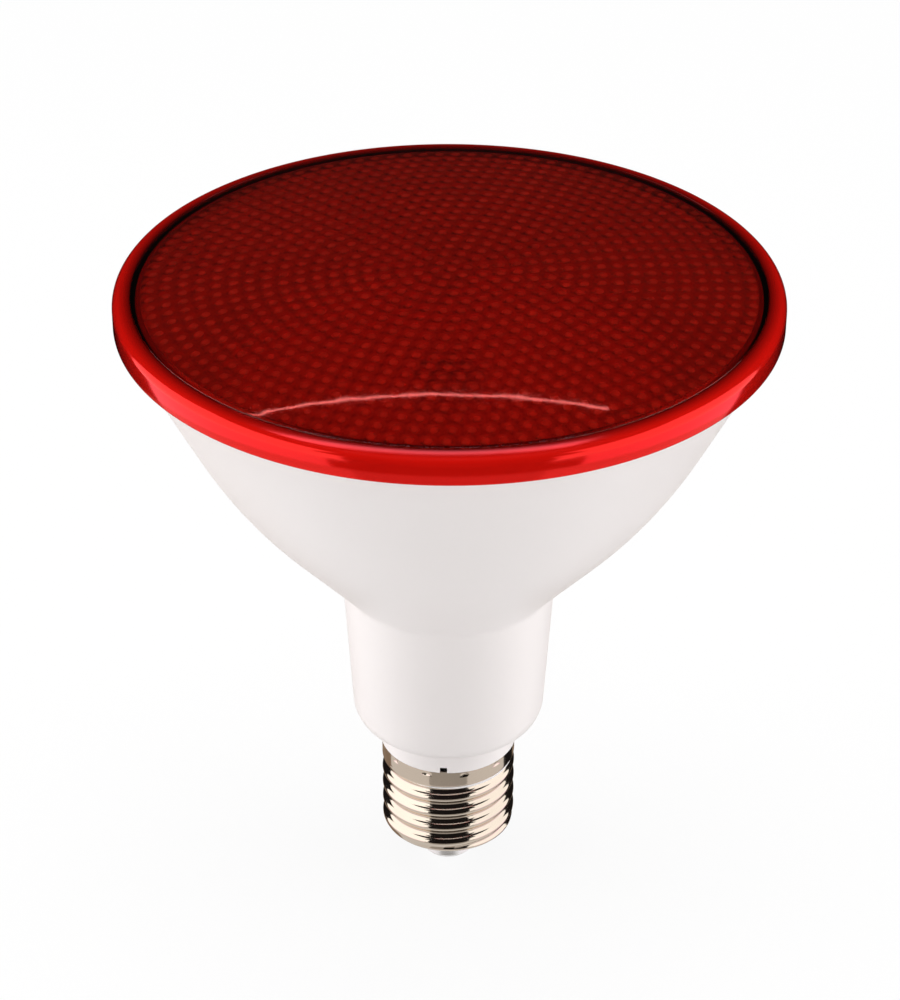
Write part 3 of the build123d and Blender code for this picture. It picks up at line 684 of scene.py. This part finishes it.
# Where the cards lie and meet, in metres and in degrees clockwise from the back
CARD_RADIUS = 1.3
LIGHT_RADIUS = 1.2
CARD_STEPS = 24
CARD_TOP = 2.3
SOFT_TOP = 1.7
SOFT_MIDDLE = 0.6
TABLE_EDGE = -0.53
TABLE_MIDDLE = -0.75
TABLE_NEAR = -1.9
BACK_LEFT = -61
BACK_MIDDLE = 30
BACK_RIGHT = 67
HIGH_LEFT = -136
HIGH_RIGHT = 136
TABLE_LEFT = -140
TABLE_RIGHT = 135
FRONT_LEFT = -147
FRONT_RIGHT = 147

# Colour and strength of what the cards give off
GLOWS = {
    "flag_black": ((0.012, 0.01, 0.01), 1.0),
    "side_left": ((1, 1, 1), 1.7),
    "side_right": ((1, 1, 1), 1.5),
    "table_back": ((0.3, 0.22, 0.16), 1.0),
    "table_left": ((1, 0.8, 0.95), 1.4),
    "table_right": ((1, 0.7, 0.9), 1.4),
    "table_grey": ((0.42, 0.4, 0.38), 1.0),
    "table_pale": ((0.8, 0.78, 0.76), 1.0),
    "bar_light": ((1, 0.22, 0.2), 13),
    "back_light": ((0.9, 1, 1.3), 2.6),
}
glows = {name: glow(name, *look) for name, look in GLOWS.items()}

# Name, start, end, bottom, top and glow of each card
CARDS = (
    ("flag_back", BACK_LEFT, BACK_RIGHT, TABLE_MIDDLE, CARD_TOP, "flag_black"),
    ("table_back", BACK_LEFT, BACK_MIDDLE, TABLE_NEAR, TABLE_MIDDLE, "table_back"),
    ("flag_low", BACK_MIDDLE, BACK_RIGHT, TABLE_NEAR, TABLE_MIDDLE, "flag_black"),
    ("flag_front", FRONT_RIGHT, 360 + FRONT_LEFT, TABLE_EDGE, CARD_TOP, "flag_black"),
    ("flag_left", FRONT_LEFT, BACK_LEFT, SOFT_TOP, CARD_TOP, "flag_black"),
    ("flag_right", BACK_RIGHT, FRONT_RIGHT, SOFT_TOP, CARD_TOP, "flag_black"),
    ("flag_skirt", TABLE_RIGHT, 360 + TABLE_LEFT, TABLE_MIDDLE, TABLE_EDGE, "flag_black"),
    ("soft_left", FRONT_LEFT, BACK_LEFT, TABLE_EDGE, SOFT_MIDDLE, "side_left"),
    ("soft_right", BACK_RIGHT, FRONT_RIGHT, TABLE_EDGE, SOFT_MIDDLE, "side_right"),
    ("high_left", HIGH_LEFT, BACK_LEFT, SOFT_MIDDLE, SOFT_TOP, "side_left"),
    ("high_right", BACK_RIGHT, HIGH_RIGHT, SOFT_MIDDLE, SOFT_TOP, "side_right"),
    ("flag_high_left", FRONT_LEFT, HIGH_LEFT, SOFT_MIDDLE, SOFT_TOP, "flag_black"),
    ("flag_high_right", HIGH_RIGHT, FRONT_RIGHT, SOFT_MIDDLE, SOFT_TOP, "flag_black"),
    ("table_left", TABLE_LEFT, BACK_LEFT, TABLE_MIDDLE, TABLE_EDGE, "table_left"),
    ("table_right", BACK_RIGHT, TABLE_RIGHT, TABLE_MIDDLE, TABLE_EDGE, "table_right"),
    ("table_front", FRONT_RIGHT, 360 + FRONT_LEFT, TABLE_NEAR, TABLE_MIDDLE, "table_grey"),
    ("table_near_left", FRONT_LEFT, BACK_LEFT, TABLE_NEAR, TABLE_MIDDLE, "table_pale"),
    ("table_near_right", BACK_RIGHT, FRONT_RIGHT, TABLE_NEAR, TABLE_MIDDLE, "table_pale"),
)
for name, start, end, low, high, look in CARDS:
    card(name, start, end, low, high, CARD_RADIUS, glows[look])

# Two lights in front of the cards: the thin line in the dome and the pale band above it
LIGHTS = (
    ("bar_light", -16, 11.2, 1.222, 1.23),
    ("back_light", -20, 15, 1.58, 1.8),
)
for name, start, end, low, high in LIGHTS:
    card(name, start, end, low, high, LIGHT_RADIUS, glows[name])

bpy.ops.mesh.primitive_circle_add(
    vertices=64, radius=CARD_RADIUS, fill_type="NGON", location=(0, 0, CARD_TOP)
)
top_flag = bpy.context.object
top_flag.name = "flag_top"
top_flag.data.materials.append(glows["flag_black"])
studio_object(top_flag)


def blend_by_ray(tree, rays, factor, usual, seen, surface):
    """Shows one shader to the named kinds of ray and the other one to the rest."""
    path = tree.nodes.new("ShaderNodeLightPath")
    total = path.outputs[rays[0]]
    for ray in rays[1:]:
        either = tree.nodes.new("ShaderNodeMath")
        either.operation = "MAXIMUM"
        tree.links.new(total, either.inputs[0])
        tree.links.new(path.outputs[ray], either.inputs[1])
        total = either.outputs[0]
    share = tree.nodes.new("ShaderNodeMath")
    share.operation = "MULTIPLY"
    share.inputs[1].default_value = factor
    mix = tree.nodes.new("ShaderNodeMixShader")
    tree.links.new(total, share.inputs[0])
    tree.links.new(share.outputs[0], mix.inputs["Fac"])
    tree.links.new(usual.outputs[0], mix.inputs[1])
    tree.links.new(seen.outputs[0], mix.inputs[2])
    tree.links.new(mix.outputs[0], surface)


SKY_STRENGTH = 0.45
world = bpy.data.worlds.new("studio")
scene.world = world
world.use_nodes = True
sky = world.node_tree.nodes["Background"]
sky.inputs["Color"].default_value = (1, 1, 1, 1)
sky.inputs["Strength"].default_value = SKY_STRENGTH
white = world.node_tree.nodes.new("ShaderNodeBackground")
white.inputs["Strength"].default_value = 1.0
world_out = world.node_tree.nodes["World Output"].inputs["Surface"]
world_rays = ("Is Camera Ray", "Is Glossy Ray", "Is Transmission Ray")
blend_by_ray(world.node_tree, world_rays, 1.0, sky, white, world_out)

# A pale floor that keeps a soft shadow
FLOOR_RADIUS = 6
FLOOR_PALE = (0.8, 0.8, 0.8, 1)
FLOOR_GLOW_SHARE = 0.9
bpy.ops.mesh.primitive_circle_add(vertices=96, radius=FLOOR_RADIUS, fill_type="NGON")
floor = bpy.context.object
floor.name = "floor"
floor_mat = bpy.data.materials.new("floor_pale")
floor_mat.use_nodes = True
floor_mat.node_tree.nodes.clear()
pale = add_node(floor_mat, "ShaderNodeBsdfDiffuse")
pale.inputs["Color"].default_value = FLOOR_PALE
shine = add_node(floor_mat, "ShaderNodeEmission")
floor_out = add_node(floor_mat, "ShaderNodeOutputMaterial").inputs["Surface"]
floor_rays = ("Is Camera Ray", "Is Transmission Ray")
blend_by_ray(floor_mat.node_tree, floor_rays, FLOOR_GLOW_SHARE, pale, shine, floor_out)
floor.data.materials.append(floor_mat)
floor.visible_glossy = False

# Area lamps at both sides and above, in degrees, metres and watts
LAMP_TARGET = Vector((0, 0, 0.08))


def soft_lamp(name, azimuth, elevation, distance, width, height, power):
    """An area lamp that faces the middle of the bulb and isn't seen in reflections."""
    lamp = bpy.data.lights.new(name, "AREA")
    lamp.shape = "RECTANGLE"
    lamp.size = width
    lamp.size_y = height
    lamp.energy = power
    ob = bpy.data.objects.new(name, lamp)
    scene.collection.objects.link(ob)
    a, e = math.radians(azimuth), math.radians(elevation)
    aim = Vector((math.sin(a) * math.cos(e), math.cos(a) * math.cos(e), math.sin(e)))
    ob.location = LAMP_TARGET + aim * distance
    ob.rotation_euler = (-aim).to_track_quat("-Z", "Y").to_euler()
    ob.visible_glossy = False


soft_lamp("lamp_left", azimuth=-95, elevation=8, distance=1.1, width=1.3, height=1.5, power=16)
soft_lamp("lamp_right", azimuth=97, elevation=8, distance=1.1, width=1.3, height=1.5, power=14.5)
soft_lamp("lamp_top", azimuth=0, elevation=85, distance=1.4, width=1.0, height=1.0, power=10)

# The camera stands where the photo's did
SENSOR = 36.0
FOCAL_LENGTH = 3.05 * SENSOR
CAMERA_SHIFT = 0.00109
CAMERA_PLACE = (0, -0.48658, 0.3876)
CAMERA_PITCH = math.radians(90) - 0.55855
CAMERA_ROLL = 0.00253
camera_data = bpy.data.cameras.new("camera")
camera_data.sensor_fit = "VERTICAL"
camera_data.sensor_height = SENSOR
camera_data.lens = FOCAL_LENGTH
camera_data.shift_x = CAMERA_SHIFT
camera_data.clip_end = 50
camera = bpy.data.objects.new("camera", camera_data)
scene.collection.objects.link(camera)
camera.matrix_world = (
    Matrix.Translation(CAMERA_PLACE)
    @ Matrix.Rotation(CAMERA_PITCH, 4, "X")
    @ Matrix.Rotation(CAMERA_ROLL, 4, "Z")
)
scene.camera = camera
scene.view_settings.view_transform = "Standard"
